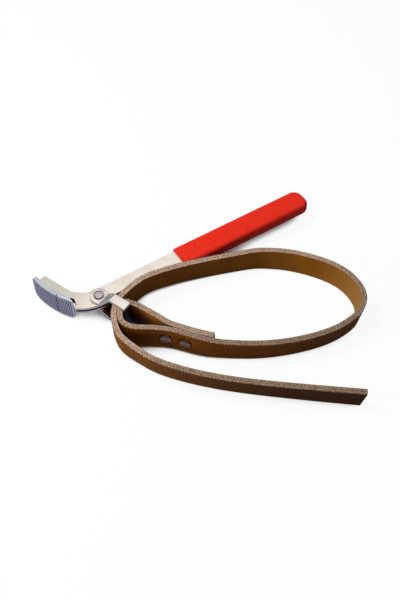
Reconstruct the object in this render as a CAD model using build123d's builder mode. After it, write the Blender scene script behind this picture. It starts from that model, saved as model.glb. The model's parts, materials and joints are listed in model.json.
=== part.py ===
from build123d import *
from math import acos, atan2, cos, degrees, hypot, radians, sin, tan
import os

# Strap oil filter wrench: a flat steel handle with a ribbed jaw shoe, a riveted swinging shackle
# and a belt that runs through the shackle, round the filter and back to an eye on its bar.
# The wrench lies on its side. Z is up and is the direction of the pivot rivet and of the belt's
# width. Plan points called "rel" are counted from the axis of the pivot rivet.

os.makedirs("parts", exist_ok=True)

# ---- Driving dimensions, in millimetres and degrees ------------------------------------------

# Place of the pivot from the middle of the wrench's footprint.
PIVOT_X = -93.0
PIVOT_Y = -14.0

# Belt.
BELT_WIDTH = 25.4
BELT_THICK = 5.3
PLY_GAP = 0.4          # between two runs of the belt that lie side by side
BELT_TO_BAR = 0.4      # the eye's free play on the shackle's bar
BELT_SIDE_PLAY = 0.7   # between a belt edge and a shackle leg
EYE_RADIUS = 7.0       # belt centre line where the eye turns round the bar
EYE_MOUTH_OFFSET = 11.7  # bar centre to where the lines that the eye turns between would meet
EYE_LEG_LENGTH = 21.1  # bar centre back to where the eye's outer ply turns along the loop
SAG_START = 45.0       # the belt sinks from the shackle's level to the table between these
SAG_END = 75.0
SAG_HEADING = 45.0     # direction in plan along which that is measured
CORNER_SHARE = 0.48    # share of a straight run that each of its two bends may use
EYE_EXIT_SHARE = 0.38  # the same for the bend next to the eye, whose own bend uses more
FOLD_ROOT_SHARE = 0.2  # the same for the bend at which the folded end leaves the main run

# Corners of the belt's route. These are counted from the bar, X and Y:
EYE_EXIT = (10.9, 3.8)                                      # where the folded end leaves the eye
DOUBLED_RUN = [(35.2, -21.1), (62.6, -31.2), (82.9, -36.6)]  # the run beside the folded end
DOUBLED_HEADING = -18.0
FOLD_SETBACK = 4.0     # folded end short of the last doubled corner
FOLD_LEAD = 2.0        # the folded ply's first bend past the main run's
STRAND_LEAN = 1.7      # the strand leans over by this much above the slot
STRAND_LEVELS = (11.0, -1.1, -9.6)                          # its bends, above the bar's centre
TAIL_START = [(-6.7, -30.0), (6.5, -43.2), (30.4, -57.0)]
# And these from the pivot:
LOOP_RUN = [
    (158.9, -57.0), (207.5, -44.9), (237.4, -25.8), (247.1, -7.7), (245.7, 8.3),
    (234.2, 26.6), (214.8, 40.3), (183.7, 51.6), (154.7, 54.1), (138.7, 51.3),
    (85.2, 36.8), (47.3, 20.0), (33.2, 9.3),
]
TAIL_RUN = [(107.8, -92.5), (169.2, -101.1), (237.5, -106.7)]

# Shackle, a bent strip with a round boss at the pivot.
LEG_HEADING = -36.0
STRIP_THICK = 2.6
STRIP_WIDTH = 9.2
BOSS_RADIUS = 8.4
BOSS_REACH = 6.8       # pivot to the first crease
CREASE_WIDTH = 15.4
RISE_ANGLE = 46.0
SHACKLE_REACH = 36.0   # pivot to the outer face of the bar
BEND_RADIUS = 1.2      # inside radius of the strip's bends
BAR_EDGE_RADIUS = 1.1

# Handle plates.
PLATE_THICK = 2.4
PLATE_GAP = 2.4
PLATE_EDGE_RADIUS = 0.4  # along the outer faces
HANDLE_HEADING = 33.0
HEAD_TURN = 68.0       # bend between the handle and its head
NECK_WIDTH = 18.8
NECK_OFFSET = 0.4      # bar centre line behind the pivot
NECK_LENGTH = 21.0     # pivot to the corner that the head turns about
NECK_INNER_RADIUS = 23.0
HEAD_LENGTH = 51.0     # that corner to the head's end
NOSE_RADIUS = 9.0
SHANK_FRONT_NEAR = 4.9  # pivot axis to the shank's front edge, beside the pivot
SHANK_FRONT_FAR = 7.9   # the same at the handle's end
HANDLE_REACH = 228.0   # pivot to the plates' rear end
REAR_CORNER = 4.0

# Jaw shoe, a curved ribbed face with a web between the plates.
SHOE_HEIGHT = 25.0
SHOE_RADIUS = 86.0
SHOE_LENGTH = 50.4     # along the ribbed face
SHOE_THICK = 4.5
SHOE_FACE_X = -45.0    # middle of the ribbed face, from the pivot
SHOE_FACE_Y = -1.8
SHOE_FACING = 234.6    # direction that it faces
SHOE_WEB_DEPTH = 8.0
SHOE_BIG_CORNER = 8.0  # lower corner at the outer end
SHOE_LOW_CORNER = 4.0  # lower corner at the inner end
SHOE_SMALL_CORNER = 2.5
SHOE_TAPER = 10.0      # length over which the back slopes away at the inner end
SHOE_TAPER_EDGE = 1.5  # thickness left there
RIB_PITCH = 1.9
GROOVE_WIDTH = 0.9
GROOVE_DEPTH = 0.7
SPLIT_GROOVE_AT = 0.64  # share of the shoe's length at which the deep groove lies
SPLIT_GROOVE_WIDTH = 1.5
SPLIT_GROOVE_DEPTH = 1.8
RELIEF_DEPTH = 10.0    # notch in the plates at the shoe's inner end
RELIEF_UNDERCUT = 8.8  # that the notch reaches behind the shoe
RELIEF_BEYOND = 0.5    # that it reaches past the shoe's end

# Pivot rivet and the bush that holds the plates apart.
RIVET_DIAMETER = 6.0
RIVET_PLAY = 0.05      # radial play of the shackle on the rivet
RIVET_HEAD_DIAMETER = 8.2
RIVET_HEAD_HEIGHT = 1.7
RIVET_HEAD_EDGE = 1.0
HEAD_SEAT_DIAMETER = 10.8
HEAD_SEAT_DEPTH = 0.9
FACE_PLAY = 0.1        # between parts that turn on each other's faces
BUSH_DIAMETER = 13.0

# Filler bar and its two flush rivets inside the grip.
FILLER_START = 96.0
FILLER_INSET = 1.2     # filler edge inside the plates' edges
FILLER_RIVET_DIAMETER = 5.0
FILLER_RIVET_HEAD = 8.0
FILLER_RIVET_HEAD_DEPTH = 1.3
FILLER_RIVET_FROM_END = 18.0

# Dipped vinyl grip.
GRIP_START = 89.5
GRIP_END_WALL = 11.6
GRIP_BACK_WALL = 2.8
GRIP_FRONT_WALL = 4.9  # the finger side is thicker
GRIP_FACE_WALL = 3.1
GRIP_EDGE_RADIUS = 4.4
GRIP_END_RADIUS = 9.5

# Belt rivets, through both plies beside the eye.
STRAP_RIVET_FIRST = 158.0  # along the belt from its folded end
STRAP_RIVET_SPACING = 19.0
STRAP_RIVET_SHANK = 4.0
STRAP_RIVET_HEAD = 11.2
STRAP_RIVET_HEAD_HEIGHT = 1.5
STRAP_RIVET_TAPER = 15.0   # of the head's side, in degrees
STRAP_RIVET_SINK = 1.2
STRAP_RIVET_DISH = 9.2     # hollow in the head, across its rim
STRAP_RIVET_DISH_DEPTH = 1.2
BURR_DIAMETER = 11.0
BURR_HEIGHT = 1.1

# ---- Derived levels and places ---------------------------------------------------------------

shackle_inside = BELT_WIDTH + 2 * BELT_SIDE_PLAY
mid_z = STRIP_THICK + shackle_inside / 2
belt_low = mid_z - BELT_WIDTH / 2
plate_top = mid_z + PLATE_GAP / 2 + PLATE_THICK
stack_half = PLATE_GAP / 2 + PLATE_THICK
pivot = Vector(PIVOT_X, PIVOT_Y)


def heading(angle):
    """Unit vector of a plan direction."""
    return Vector(cos(radians(angle)), sin(radians(angle)))


def rel(x, y):
    """Plan point counted from the pivot."""
    return pivot + Vector(x, y)


def along_leg(reach, side):
    """Plan point at a distance from the pivot along the shackle, and to the left of it."""
    return pivot + heading(LEG_HEADING) * reach + heading(LEG_HEADING + 90) * side


def along_handle(reach, side):
    """Plan point at a distance from the pivot along the handle, and towards its back edge."""
    return pivot + heading(HANDLE_HEADING) * reach + heading(HANDLE_HEADING + 90) * side


shoe_centre = rel(SHOE_FACE_X, SHOE_FACE_Y) - heading(SHOE_FACING) * SHOE_RADIUS


def on_shoe(radius, angle):
    """Plan point in the polar frame of the jaw shoe."""
    return shoe_centre + heading(angle) * radius


def shoe_turn(length):
    """Angle that a length along the ribbed face takes."""
    return degrees(length / SHOE_RADIUS)


def level(height):
    """Horizontal plane over the pivot."""
    return Plane.XY.offset(height)


# ---- Belt route ------------------------------------------------------------------------------

bar_inner = SHACKLE_REACH - STRIP_THICK
bar_corner = along_leg(bar_inner + BAR_EDGE_RADIUS, BAR_EDGE_RADIUS - STRIP_WIDTH / 2)
ply_step = BELT_THICK + PLY_GAP
eye_x = bar_corner.X - BAR_EDGE_RADIUS - BELT_TO_BAR - BELT_THICK / 2
strand_x = eye_x - ply_step

bar = along_leg(SHACKLE_REACH - STRIP_THICK / 2, 0)


def at_bar(x, y):
    """Plan point counted from the middle of the shackle's bar."""
    return bar + Vector(x, y)


# The folded ply lies one step behind the run beside it.
ply_shift = heading(DOUBLED_HEADING + 90) * ply_step
doubled = [at_bar(*point) for point in DOUBLED_RUN]
fold_end = doubled[2] + ply_shift - heading(DOUBLED_HEADING) * FOLD_SETBACK
fold_mid = doubled[1] + ply_shift
fold_root = doubled[0] + ply_shift + heading(DOUBLED_HEADING) * FOLD_LEAD
eye_exit = at_bar(*EYE_EXIT)
eye_corner = Vector(eye_x, bar.Y + EYE_MOUTH_OFFSET)
upper_bend, slot_bend, lower_bend = [bar.Y + height for height in STRAND_LEVELS]

belt_corners = [
    fold_end,
    fold_mid,
    fold_root,
    eye_exit,
    eye_corner,
    Vector(eye_x, bar.Y - EYE_LEG_LENGTH),
    *doubled,
    *[rel(*point) for point in LOOP_RUN],
    Vector(strand_x + STRAND_LEAN, upper_bend),
    Vector(strand_x, slot_bend),
    Vector(strand_x, lower_bend),
    *[at_bar(*point) for point in TAIL_START],
    *[rel(*point) for point in TAIL_RUN],
]


def bend_radius(index):
    """Largest radius that leaves each straight run its share for the bends at its two ends."""
    before, corner, after = belt_corners[index - 1 : index + 2]
    share = CORNER_SHARE
    if corner == fold_root:
        share = FOLD_ROOT_SHARE
    if corner == eye_exit:
        share = EYE_EXIT_SHARE
    turn = radians((corner - before).get_angle(after - corner))
    run = min((corner - before).length, (after - corner).length)
    return share * run / tan(turn / 2)


belt_radii = [bend_radius(index) for index in range(1, len(belt_corners) - 1)]
belt_radii[belt_corners.index(eye_corner) - 1] = EYE_RADIUS

with BuildLine(level(belt_low)) as belt_line:
    FilletPolyline(*belt_corners, radius=belt_radii)
belt_wire = belt_line.wire()


def strap_rivet_plane(index):
    """Plane at a belt rivet, on the belt's centre line at mid width, facing out of the loop."""
    at = STRAP_RIVET_FIRST + index * STRAP_RIVET_SPACING
    spot = belt_wire.position_at(at, position_mode=PositionMode.LENGTH)
    run = belt_wire.tangent_at(at, position_mode=PositionMode.LENGTH)
    outward = Vector(run.Y, -run.X)
    return Plane(Vector(spot.X, spot.Y, mid_z), x_dir=run, z_dir=outward)


rivet_planes = [strap_rivet_plane(i) for i in range(2)]

# ---- Belt ------------------------------------------------------------------------------------


def parallel(corners, radii, distance):
    """Corners and bend radii of the line that runs beside a rounded line, to its left."""
    runs = [(b - a).normalized() for a, b in zip(corners, corners[1:])]
    lefts = [Vector(-run.Y, run.X) for run in runs]
    moved = [corners[0] + lefts[0] * distance]
    new_radii = []
    for i, radius in enumerate(radii):
        middle = (lefts[i] + lefts[i + 1]).normalized()
        moved.append(corners[i + 1] + middle * (distance / middle.dot(lefts[i])))
        turns_left = runs[i].cross(runs[i + 1]).Z > 0
        new_radii.append(radius - distance if turns_left else radius + distance)
    moved.append(corners[-1] + lefts[-1] * distance)
    return moved, new_radii


def band(corners, radii, width):
    """Flat strip of constant width along a rounded line."""
    left, left_radii = parallel(corners, radii, width / 2)
    right, right_radii = parallel(corners, radii, -width / 2)
    with BuildSketch(Plane.XY) as strip:
        with BuildLine():
            FilletPolyline(*left, radius=left_radii)
            FilletPolyline(*right, radius=right_radii)
            Line(left[0], right[0])
            Line(left[-1], right[-1])
        make_face()
    return strip.sketch


with BuildPart() as strap:
    with BuildSketch(Plane.XY):
        add(band(belt_corners, belt_radii, BELT_THICK))
    extrude(amount=belt_low + BELT_WIDTH)
    side = Plane(pivot, x_dir=heading(SAG_HEADING), z_dir=heading(SAG_HEADING - 90))
    far = 2 * HANDLE_REACH
    with BuildSketch(side):
        with BuildLine():
            Polyline(
                (-far, belt_low),
                (SAG_START, belt_low),
                (SAG_END, 0),
                (far, 0),
                (far, BELT_WIDTH),
                (SAG_END, BELT_WIDTH),
                (SAG_START, belt_low + BELT_WIDTH),
                (-far, belt_low + BELT_WIDTH),
                close=True,
            )
        make_face()
    extrude(amount=far, both=True, mode=Mode.INTERSECT)
bare_strap = strap.part


def stack_behind(plane):
    """Distance from the belt's centre line back through the folded ply to its far face."""
    hits = bare_strap.find_intersection_points(Axis(plane.origin, -plane.z_dir))
    reach = sorted((point - plane.origin).dot(-plane.z_dir) for point, _ in hits)
    return max(d for d in reach if d < 3 * BELT_THICK)


stacks = [stack_behind(plane) for plane in rivet_planes]

with BuildPart() as strap:
    add(bare_strap)
    for plane, stack in zip(rivet_planes, stacks):
        with BuildSketch(plane.offset(-stack - BURR_HEIGHT)):
            Circle(STRAP_RIVET_SHANK / 2)
        extrude(amount=stack + BURR_HEIGHT + BELT_THICK, mode=Mode.SUBTRACT)
        with BuildSketch(plane.offset(BELT_THICK / 2 - STRAP_RIVET_SINK)):
            Circle(STRAP_RIVET_HEAD / 2)
        extrude(amount=STRAP_RIVET_HEAD_HEIGHT, mode=Mode.SUBTRACT)
        with BuildSketch(plane.offset(-stack + STRAP_RIVET_SINK - BURR_HEIGHT)):
            Circle(BURR_DIAMETER / 2)
        extrude(amount=BURR_HEIGHT, mode=Mode.SUBTRACT)
strap.part.label = "strap"
export_step(strap.part, "parts/strap.step")

# ---- Belt rivets and their burrs -------------------------------------------------------------

dish_radius = (STRAP_RIVET_DISH**2 / 4 + STRAP_RIVET_DISH_DEPTH**2) / 2 / STRAP_RIVET_DISH_DEPTH

with BuildPart() as strap_rivets:
    for plane, stack in zip(rivet_planes, stacks):
        with BuildSketch(plane.offset(-stack + STRAP_RIVET_SINK - BURR_HEIGHT)):
            Circle(STRAP_RIVET_SHANK / 2)
        extrude(amount=stack - STRAP_RIVET_SINK + BURR_HEIGHT + BELT_THICK / 2)
        with BuildSketch(plane.offset(BELT_THICK / 2 - STRAP_RIVET_SINK)):
            Circle(STRAP_RIVET_HEAD / 2)
        extrude(amount=STRAP_RIVET_HEAD_HEIGHT, taper=STRAP_RIVET_TAPER)
        head_top = BELT_THICK / 2 - STRAP_RIVET_SINK + STRAP_RIVET_HEAD_HEIGHT
        with Locations(plane.offset(head_top - STRAP_RIVET_DISH_DEPTH + dish_radius)):
            Sphere(dish_radius, mode=Mode.SUBTRACT)
strap_rivets.part.label = "strap_rivets"
export_step(strap_rivets.part, "parts/strap_rivets.step")

with BuildPart() as strap_burrs:
    for plane, stack in zip(rivet_planes, stacks):
        with BuildSketch(plane.offset(-stack + STRAP_RIVET_SINK - BURR_HEIGHT)):
            Circle(BURR_DIAMETER / 2)
            Circle(STRAP_RIVET_SHANK / 2, mode=Mode.SUBTRACT)
        extrude(amount=BURR_HEIGHT)
strap_burrs.part.label = "strap_burrs"
export_step(strap_burrs.part, "parts/strap_burrs.step")

# ---- Shackle ---------------------------------------------------------------------------------

leg_side = heading(LEG_HEADING - 90)
leg_plane = Plane(pivot + Vector(0, 0, mid_z), x_dir=heading(LEG_HEADING), z_dir=leg_side)
leg_low = stack_half + FACE_PLAY
leg_mid = leg_low + STRIP_THICK / 2
strip_mid = shackle_inside / 2 + STRIP_THICK / 2
rise_run = (strip_mid - leg_mid) / tan(radians(RISE_ANGLE))
crease = BOSS_REACH + STRIP_THICK / 2 * tan(radians(RISE_ANGLE / 2))
strip_bend = BEND_RADIUS + STRIP_THICK / 2
seat_floor = leg_low + STRIP_THICK - HEAD_SEAT_DEPTH

half_crease = CREASE_WIDTH / 2
touch = atan2(half_crease, BOSS_REACH) + acos(BOSS_RADIUS / hypot(half_crease, BOSS_REACH))
touch_x, touch_y = BOSS_RADIUS * cos(touch), BOSS_RADIUS * sin(touch)
shackle_plan = Plane(pivot, x_dir=heading(LEG_HEADING), z_dir=(0, 0, 1))
# Inner and outer face of the bar, the way into the strip, and half the height to be rounded.
bar_roundings = [
    (bar_inner, 1, shackle_inside / 2 - BEND_RADIUS),
    (SHACKLE_REACH, -1, mid_z),
]
strip_line = [
    Vector(-BOSS_RADIUS, leg_mid),
    Vector(crease, leg_mid),
    Vector(crease + rise_run, strip_mid),
    Vector(SHACKLE_REACH - STRIP_THICK / 2, strip_mid),
    Vector(SHACKLE_REACH - STRIP_THICK / 2, -strip_mid),
    Vector(crease + rise_run, -strip_mid),
    Vector(crease, -leg_mid),
    Vector(-BOSS_RADIUS, -leg_mid),
]

with BuildPart() as shackle:
    with BuildSketch(leg_plane):
        add(band(strip_line, [strip_bend] * 6, STRIP_THICK))
    extrude(amount=BOSS_RADIUS, both=True)
    with BuildSketch(shackle_plan):
        Circle(BOSS_RADIUS)
        with BuildLine():
            Polyline(
                (touch_x, touch_y),
                (BOSS_REACH, half_crease),
                (BOSS_REACH + rise_run, STRIP_WIDTH / 2),
                (SHACKLE_REACH, STRIP_WIDTH / 2),
                (SHACKLE_REACH, -STRIP_WIDTH / 2),
                (BOSS_REACH + rise_run, -STRIP_WIDTH / 2),
                (BOSS_REACH, -half_crease),
                (touch_x, -touch_y),
                close=True,
            )
        make_face()
    extrude(amount=2 * mid_z, mode=Mode.INTERSECT)
    for edge_reach, inward, half_height in bar_roundings:
        with BuildSketch(shackle_plan.offset(mid_z)):
            square = edge_reach + inward * BAR_EDGE_RADIUS / 2
            side_square = (STRIP_WIDTH - BAR_EDGE_RADIUS) / 2
            with Locations((square, side_square), (square, -side_square)):
                Rectangle(BAR_EDGE_RADIUS, BAR_EDGE_RADIUS)
            round_at = edge_reach + inward * BAR_EDGE_RADIUS
            side_round = STRIP_WIDTH / 2 - BAR_EDGE_RADIUS
            with Locations((round_at, side_round), (round_at, -side_round)):
                Circle(BAR_EDGE_RADIUS, mode=Mode.SUBTRACT)
        extrude(amount=half_height, both=True, mode=Mode.SUBTRACT)
    with Locations(pivot + Vector(0, 0, mid_z)):
        Cylinder(RIVET_DIAMETER / 2 + RIVET_PLAY, 2 * mid_z, mode=Mode.SUBTRACT)
    upper_seat = Vector(PIVOT_X, PIVOT_Y, mid_z + seat_floor)
    lower_seat = Vector(PIVOT_X, PIVOT_Y, mid_z - seat_floor - STRIP_THICK)
    with Locations(upper_seat, lower_seat):
        Cylinder(
            HEAD_SEAT_DIAMETER / 2,
            STRIP_THICK,
            align=(Align.CENTER, Align.CENTER, Align.MIN),
            mode=Mode.SUBTRACT,
        )
shackle.part.label = "shackle"
export_step(shackle.part, "parts/shackle.step")

# ---- Handle plates ---------------------------------------------------------------------------

filler_rivet_reach = [FILLER_START + FILLER_RIVET_FROM_END, HANDLE_REACH - FILLER_RIVET_FROM_END]
neck_corner = along_handle(-NECK_LENGTH, NECK_OFFSET)
head_heading = HANDLE_HEADING + 180 - HEAD_TURN
head_end = neck_corner + heading(head_heading) * HEAD_LENGTH
shoe_span = shoe_turn(SHOE_LENGTH)
shoe_start = SHOE_FACING - shoe_span / 2
shoe_end = shoe_start + shoe_span
notch_end = shoe_end + shoe_turn(RELIEF_BEYOND)
notch_start = shoe_end - shoe_turn(RELIEF_UNDERCUT)
clear_start = shoe_start - shoe_span / 3
shoe_back = SHOE_RADIUS - SHOE_THICK

with BuildSketch(Plane.XY) as plate_outline:
    neck_line = [head_end, neck_corner, along_handle(3, NECK_OFFSET)]
    add(band(neck_line, [NECK_INNER_RADIUS + NECK_WIDTH / 2], NECK_WIDTH))
    with Locations(pivot):
        Circle(NOSE_RADIUS)
    with BuildLine():
        back = NECK_OFFSET + NECK_WIDTH / 2
        FilletPolyline(
            along_handle(0, -SHANK_FRONT_NEAR),
            along_handle(0, back),
            along_handle(HANDLE_REACH, back),
            along_handle(HANDLE_REACH, -SHANK_FRONT_FAR),
            radius=(REAR_CORNER / 10, REAR_CORNER, REAR_CORNER, REAR_CORNER / 10),
            close=True,
        )
    make_face()
    with BuildLine():
        Polyline(
            on_shoe(shoe_back, clear_start),
            on_shoe(2 * SHOE_RADIUS, clear_start),
            on_shoe(2 * SHOE_RADIUS, shoe_end),
            on_shoe(shoe_back, shoe_end),
        )
        ThreePointArc(
            on_shoe(shoe_back, shoe_end),
            on_shoe(shoe_back, SHOE_FACING),
            on_shoe(shoe_back, clear_start),
        )
    make_face(mode=Mode.SUBTRACT)
    with BuildLine():
        Polyline(
            on_shoe(SHOE_RADIUS + SHOE_THICK, notch_end),
            on_shoe(SHOE_RADIUS - RELIEF_DEPTH / 2, notch_end),
            on_shoe(SHOE_RADIUS - RELIEF_DEPTH, (notch_start + shoe_end) / 2),
            on_shoe(SHOE_RADIUS - RELIEF_DEPTH, notch_start),
            on_shoe(SHOE_RADIUS + SHOE_THICK, notch_start),
            close=True,
        )
    make_face(mode=Mode.SUBTRACT)


def make_plate(low):
    """One handle plate with its rivet holes, lying at a height above the middle plane."""
    outer = low > 0
    with BuildPart() as plate:
        with BuildSketch(level(mid_z + low)):
            add(plate_outline.sketch)
        extrude(amount=PLATE_THICK)
        outer_face = plate.faces().sort_by(Axis.Z)[-1 if outer else 0]
        fillet(outer_face.outer_wire().edges(), radius=PLATE_EDGE_RADIUS)
        with Locations(pivot + Vector(0, 0, mid_z)):
            Cylinder(RIVET_DIAMETER / 2, 2 * mid_z, mode=Mode.SUBTRACT)
        for reach in filler_rivet_reach:
            centre = along_handle(reach, NECK_OFFSET)
            with Locations(centre + Vector(0, 0, mid_z)):
                Cylinder(FILLER_RIVET_DIAMETER / 2, 2 * mid_z, mode=Mode.SUBTRACT)
            small, large = FILLER_RIVET_DIAMETER / 2, FILLER_RIVET_HEAD / 2
            radii = (small, large) if outer else (large, small)
            start = stack_half - FILLER_RIVET_HEAD_DEPTH if outer else -stack_half
            with Locations(centre + Vector(0, 0, mid_z + start)):
                Cone(
                    *radii,
                    FILLER_RIVET_HEAD_DEPTH,
                    align=(Align.CENTER, Align.CENTER, Align.MIN),
                    mode=Mode.SUBTRACT,
                )
    return plate.part


with BuildPart() as upper_plate:
    add(make_plate(PLATE_GAP / 2))
upper_plate.part.label = "upper_plate"
export_step(upper_plate.part, "parts/upper_plate.step")

with BuildPart() as lower_plate:
    add(make_plate(-stack_half))
lower_plate.part.label = "lower_plate"
export_step(lower_plate.part, "parts/lower_plate.step")

# ---- Jaw shoe --------------------------------------------------------------------------------

shoe_frame = Plane(shoe_centre)
shoe_low = mid_z - SHOE_HEIGHT / 2
rib_step = shoe_turn(RIB_PITCH)
rib_count = int(shoe_span / rib_step) - 1
rib_start = SHOE_FACING - (rib_count - 1) * rib_step / 2
split_angle = rib_start + round(rib_count * SPLIT_GROOVE_AT) * rib_step
web_start = shoe_start + shoe_turn(RELIEF_BEYOND)
web_end = notch_start - shoe_turn(RELIEF_BEYOND)
taper_start = shoe_end - shoe_turn(SHOE_TAPER)
past_end = shoe_end + shoe_turn(SHOE_THICK)
shoe_corners = [
    (shoe_start, shoe_low, SHOE_BIG_CORNER),
    (shoe_end, shoe_low, SHOE_LOW_CORNER),
    (shoe_start, shoe_low + SHOE_HEIGHT, SHOE_SMALL_CORNER),
    (shoe_end, shoe_low + SHOE_HEIGHT, SHOE_SMALL_CORNER),
]


def shoe_sector(outer, inner, start, end):
    """Curved strip in plan between two radii and two angles of the jaw shoe."""
    middle = (start + end) / 2
    with BuildSketch(Plane.XY) as sector:
        with BuildLine():
            ThreePointArc(on_shoe(outer, start), on_shoe(outer, middle), on_shoe(outer, end))
            Line(on_shoe(outer, end), on_shoe(inner, end))
            ThreePointArc(on_shoe(inner, end), on_shoe(inner, middle), on_shoe(inner, start))
            Line(on_shoe(inner, start), on_shoe(outer, start))
        make_face()
    return sector.sketch


with BuildPart() as jaw_shoe:
    with BuildSketch(level(shoe_low)):
        add(shoe_sector(SHOE_RADIUS, shoe_back, shoe_start, shoe_end))
    extrude(amount=SHOE_HEIGHT)
    for angle, height, radius in shoe_corners:
        spot = on_shoe(SHOE_RADIUS - SHOE_THICK / 2, angle) + Vector(0, 0, height)
        fillet(jaw_shoe.edges().sort_by_distance(spot)[0], radius=radius)
    with BuildSketch(level(shoe_low)):
        with BuildLine():
            Polyline(
                on_shoe(shoe_back, taper_start),
                on_shoe(SHOE_RADIUS - SHOE_TAPER_EDGE, shoe_end),
                on_shoe(SHOE_RADIUS - SHOE_TAPER_EDGE, past_end),
                on_shoe(shoe_back - SHOE_THICK, past_end),
                on_shoe(shoe_back - SHOE_THICK, taper_start),
                close=True,
            )
        make_face()
    extrude(amount=SHOE_HEIGHT, mode=Mode.SUBTRACT)
    with BuildSketch(shoe_frame.offset(shoe_low)):
        with PolarLocations(SHOE_RADIUS, rib_count, rib_start, rib_step * rib_count):
            Rectangle(2 * GROOVE_DEPTH, GROOVE_WIDTH)
        with PolarLocations(SHOE_RADIUS, 1, split_angle):
            Rectangle(2 * SPLIT_GROOVE_DEPTH, SPLIT_GROOVE_WIDTH)
    extrude(amount=SHOE_HEIGHT, mode=Mode.SUBTRACT)
    with BuildSketch(level(mid_z - PLATE_GAP / 2)):
        add(shoe_sector(shoe_back, shoe_back - SHOE_WEB_DEPTH, web_start, web_end))
    extrude(amount=PLATE_GAP)
jaw_shoe.part.label = "jaw_shoe"
export_step(jaw_shoe.part, "parts/jaw_shoe.step")

# ---- Pivot rivet and bush --------------------------------------------------------------------

head_low = seat_floor + FACE_PLAY

with BuildPart() as pivot_bush:
    with BuildSketch(Plane(pivot).offset(mid_z - PLATE_GAP / 2)):
        Circle(BUSH_DIAMETER / 2)
        Circle(RIVET_DIAMETER / 2, mode=Mode.SUBTRACT)
    extrude(amount=PLATE_GAP)
pivot_bush.part.label = "pivot_bush"
export_step(pivot_bush.part, "parts/pivot_bush.step")

with BuildPart() as pivot_rivet:
    with BuildSketch(Plane(pivot).offset(mid_z)):
        Circle(RIVET_DIAMETER / 2)
    extrude(amount=head_low, both=True)
    with BuildSketch(Plane(pivot).offset(mid_z + head_low)):
        Circle(RIVET_HEAD_DIAMETER / 2)
    extrude(amount=RIVET_HEAD_HEIGHT)
    with BuildSketch(Plane(pivot).offset(mid_z - head_low - RIVET_HEAD_HEIGHT)):
        Circle(RIVET_HEAD_DIAMETER / 2)
    extrude(amount=RIVET_HEAD_HEIGHT)
    rims = pivot_rivet.edges().filter_by(GeomType.CIRCLE).sort_by(Axis.Z)
    fillet([rims[0], rims[-1]], radius=RIVET_HEAD_EDGE)
pivot_rivet.part.label = "pivot_rivet"
export_step(pivot_rivet.part, "parts/pivot_rivet.step")

# ---- Filler bar and its rivets ---------------------------------------------------------------


def shank_front(reach):
    """Distance from the pivot axis to the shank's front edge, at a distance along the handle."""
    return SHANK_FRONT_NEAR + (SHANK_FRONT_FAR - SHANK_FRONT_NEAR) * reach / HANDLE_REACH


handle_back = NECK_OFFSET + NECK_WIDTH / 2
filler_end = HANDLE_REACH - FILLER_INSET

with BuildPart() as handle_filler:
    with BuildSketch(level(mid_z - PLATE_GAP / 2)):
        with BuildLine():
            FilletPolyline(
                along_handle(FILLER_START, FILLER_INSET - shank_front(FILLER_START)),
                along_handle(FILLER_START, handle_back - FILLER_INSET),
                along_handle(filler_end, handle_back - FILLER_INSET),
                along_handle(filler_end, FILLER_INSET - shank_front(filler_end)),
                radius=REAR_CORNER - FILLER_INSET,
                close=True,
            )
        make_face()
        for reach in filler_rivet_reach:
            with Locations(along_handle(reach, NECK_OFFSET)):
                Circle(FILLER_RIVET_DIAMETER / 2, mode=Mode.SUBTRACT)
    extrude(amount=PLATE_GAP)
handle_filler.part.label = "handle_filler"
export_step(handle_filler.part, "parts/handle_filler.step")

with BuildPart() as filler_rivets:
    for reach in filler_rivet_reach:
        centre = Plane(along_handle(reach, NECK_OFFSET)).offset(mid_z)
        for side in (1, -1):
            with BuildSketch(centre):
                Circle(FILLER_RIVET_DIAMETER / 2)
            extrude(amount=side * (stack_half - FILLER_RIVET_HEAD_DEPTH))
            with BuildSketch(centre.offset(side * (stack_half - FILLER_RIVET_HEAD_DEPTH))):
                Circle(FILLER_RIVET_DIAMETER / 2)
            with BuildSketch(centre.offset(side * stack_half)):
                Circle(FILLER_RIVET_HEAD / 2)
            loft()
filler_rivets.part.label = "filler_rivets"
export_step(filler_rivets.part, "parts/filler_rivets.step")

# ---- Grip ------------------------------------------------------------------------------------

grip_back = handle_back + GRIP_BACK_WALL
grip_front = shank_front(HANDLE_REACH) + GRIP_FRONT_WALL
grip_end = HANDLE_REACH + GRIP_END_WALL
grip_half = stack_half + GRIP_FACE_WALL

handle_axis = Axis(along_handle(0, 0), heading(HANDLE_HEADING))

with BuildPart() as grip:
    with BuildSketch(level(mid_z - grip_half)) as grip_outline:
        with BuildLine():
            Polyline(
                along_handle(GRIP_START, -grip_front),
                along_handle(GRIP_START, grip_back),
                along_handle(grip_end, grip_back),
                along_handle(grip_end, -grip_front),
                close=True,
            )
        make_face()
        fillet(grip_outline.vertices().sort_by(handle_axis)[2:], radius=GRIP_END_RADIUS)
    extrude(amount=2 * grip_half)
    rims = grip.faces().filter_by(Axis.Z).edges().sort_by(handle_axis)
    fillet(rims[2:], radius=GRIP_EDGE_RADIUS)
    with BuildSketch(level(mid_z - stack_half)):
        add(plate_outline.sketch)
    extrude(amount=2 * stack_half, mode=Mode.SUBTRACT)
grip.part.label = "grip"
export_step(grip.part, "parts/grip.step")

whole = Compound(children=[
    strap.part, strap_rivets.part, strap_burrs.part, shackle.part, upper_plate.part,
    lower_plate.part, jaw_shoe.part, pivot_bush.part, pivot_rivet.part, handle_filler.part,
    filler_rivets.part, grip.part,
])
box = whole.bounding_box()
print("size", box.size, "centre", box.center(), "lowest", box.min.Z)
print("bar centre", bar, "middle height", mid_z)
print("belt stacks", stacks, "belt length", belt_wire.length)
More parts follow.
